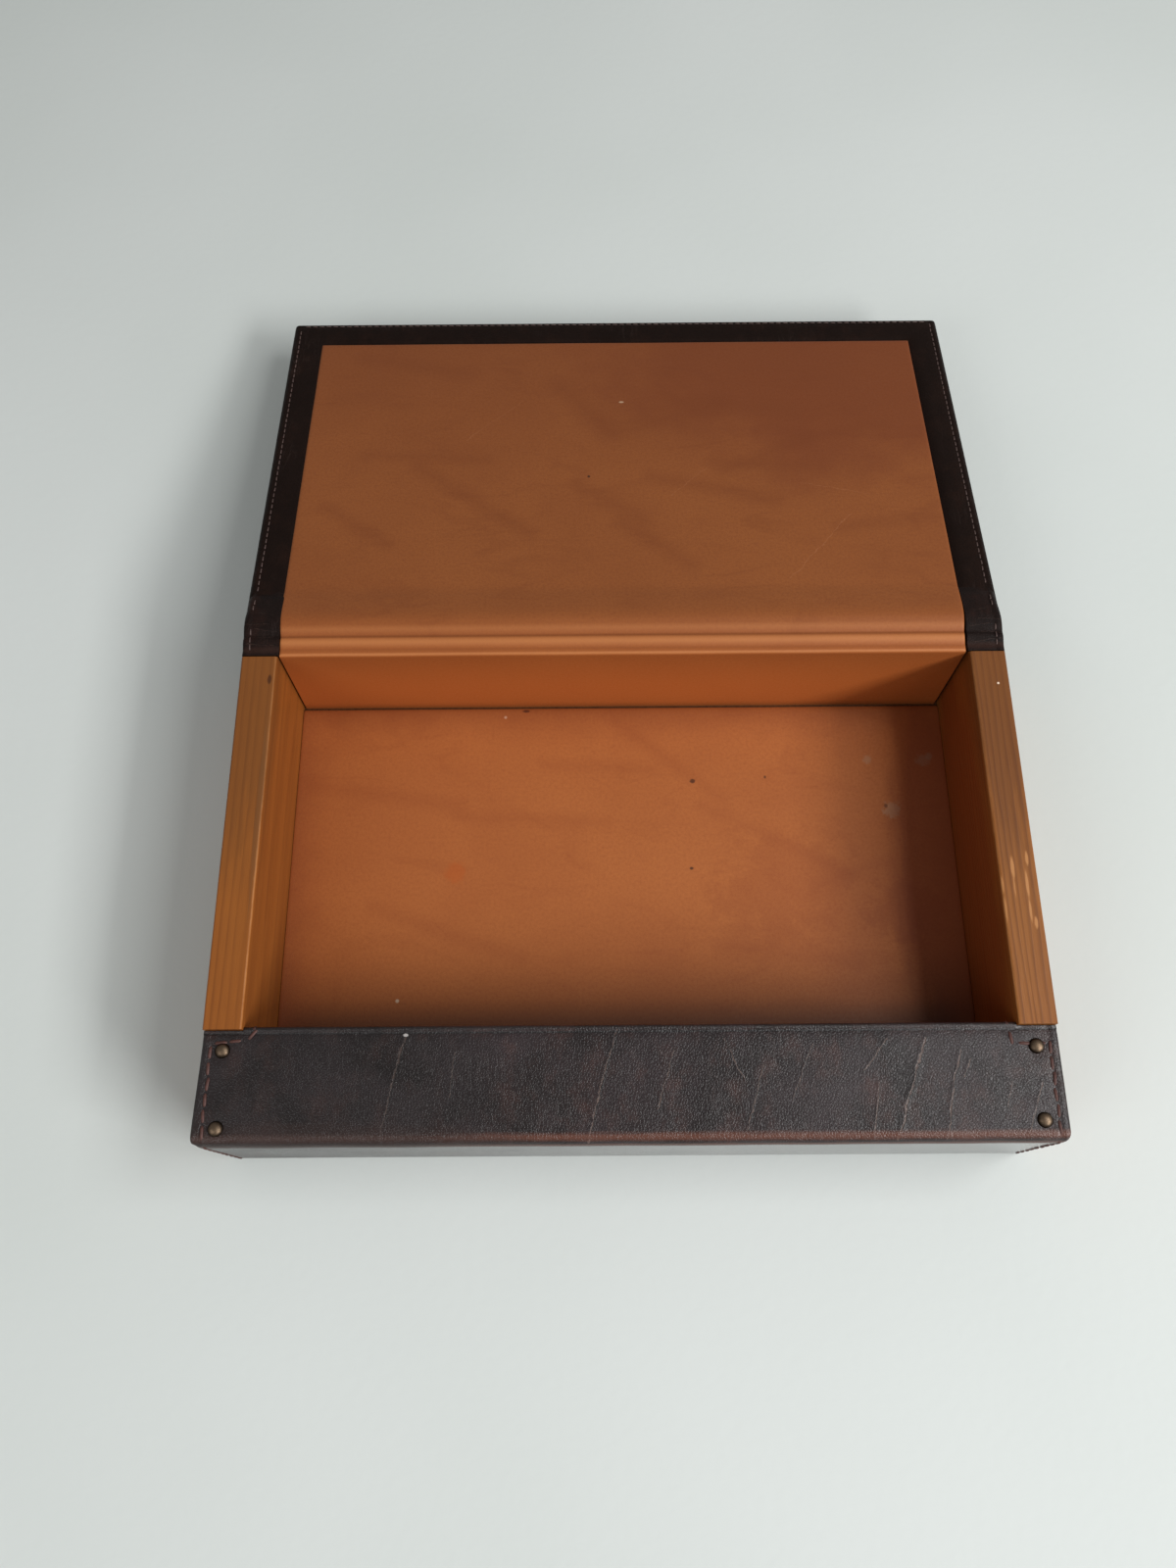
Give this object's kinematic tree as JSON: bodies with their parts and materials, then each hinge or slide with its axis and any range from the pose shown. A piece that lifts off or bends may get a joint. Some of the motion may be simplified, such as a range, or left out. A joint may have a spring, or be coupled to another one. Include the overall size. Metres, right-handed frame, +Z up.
{
  "type": "stationery box",
  "caption": "Shallow stationery box of bare wooden walls wrapped in dark stitched hide, with a nailed front ledge, tan leather lining and a lid on a leather hinge, lying open.",
  "frame": {"origin": "centre of the box's underside", "axes": "+X to the box's right, +Y to the hinge at the back, +Z up"},
  "size_m": [0.2734, 0.3399, 0.051],
  "materials": {
    "wood": "satin",
    "hide": "satin",
    "lining": "matte",
    "brass": "satin"
  },
  "bodies": {
    "tray": {"left_side_wall": "wood", "right_side_wall": "wood", "front_board": "wood", "back_board": "wood", "bottom_board": "wood", "ledge_board": "wood", "body_cover": "hide", "floor_lining": "lining", "back_lining": "lining", "dome_nails": "brass", "hinge_cover": "hide", "hinge_tabs": "hide", "hinge_lining": "lining"},
    "lid": {"lid_board": "wood", "lid_cover": "hide", "lid_lining": "lining"}
  },
  "joints": [
    {"name": "lid_hinge", "type": "hinge", "parent": "tray", "child": "lid", "pos_m": [0, 0.0905, 0.0493], "axis": [1, 0, 0], "range_deg": [0, 189.5], "deforming": ["hinge_cover", "hinge_tabs", "hinge_lining"]}
  ]
}
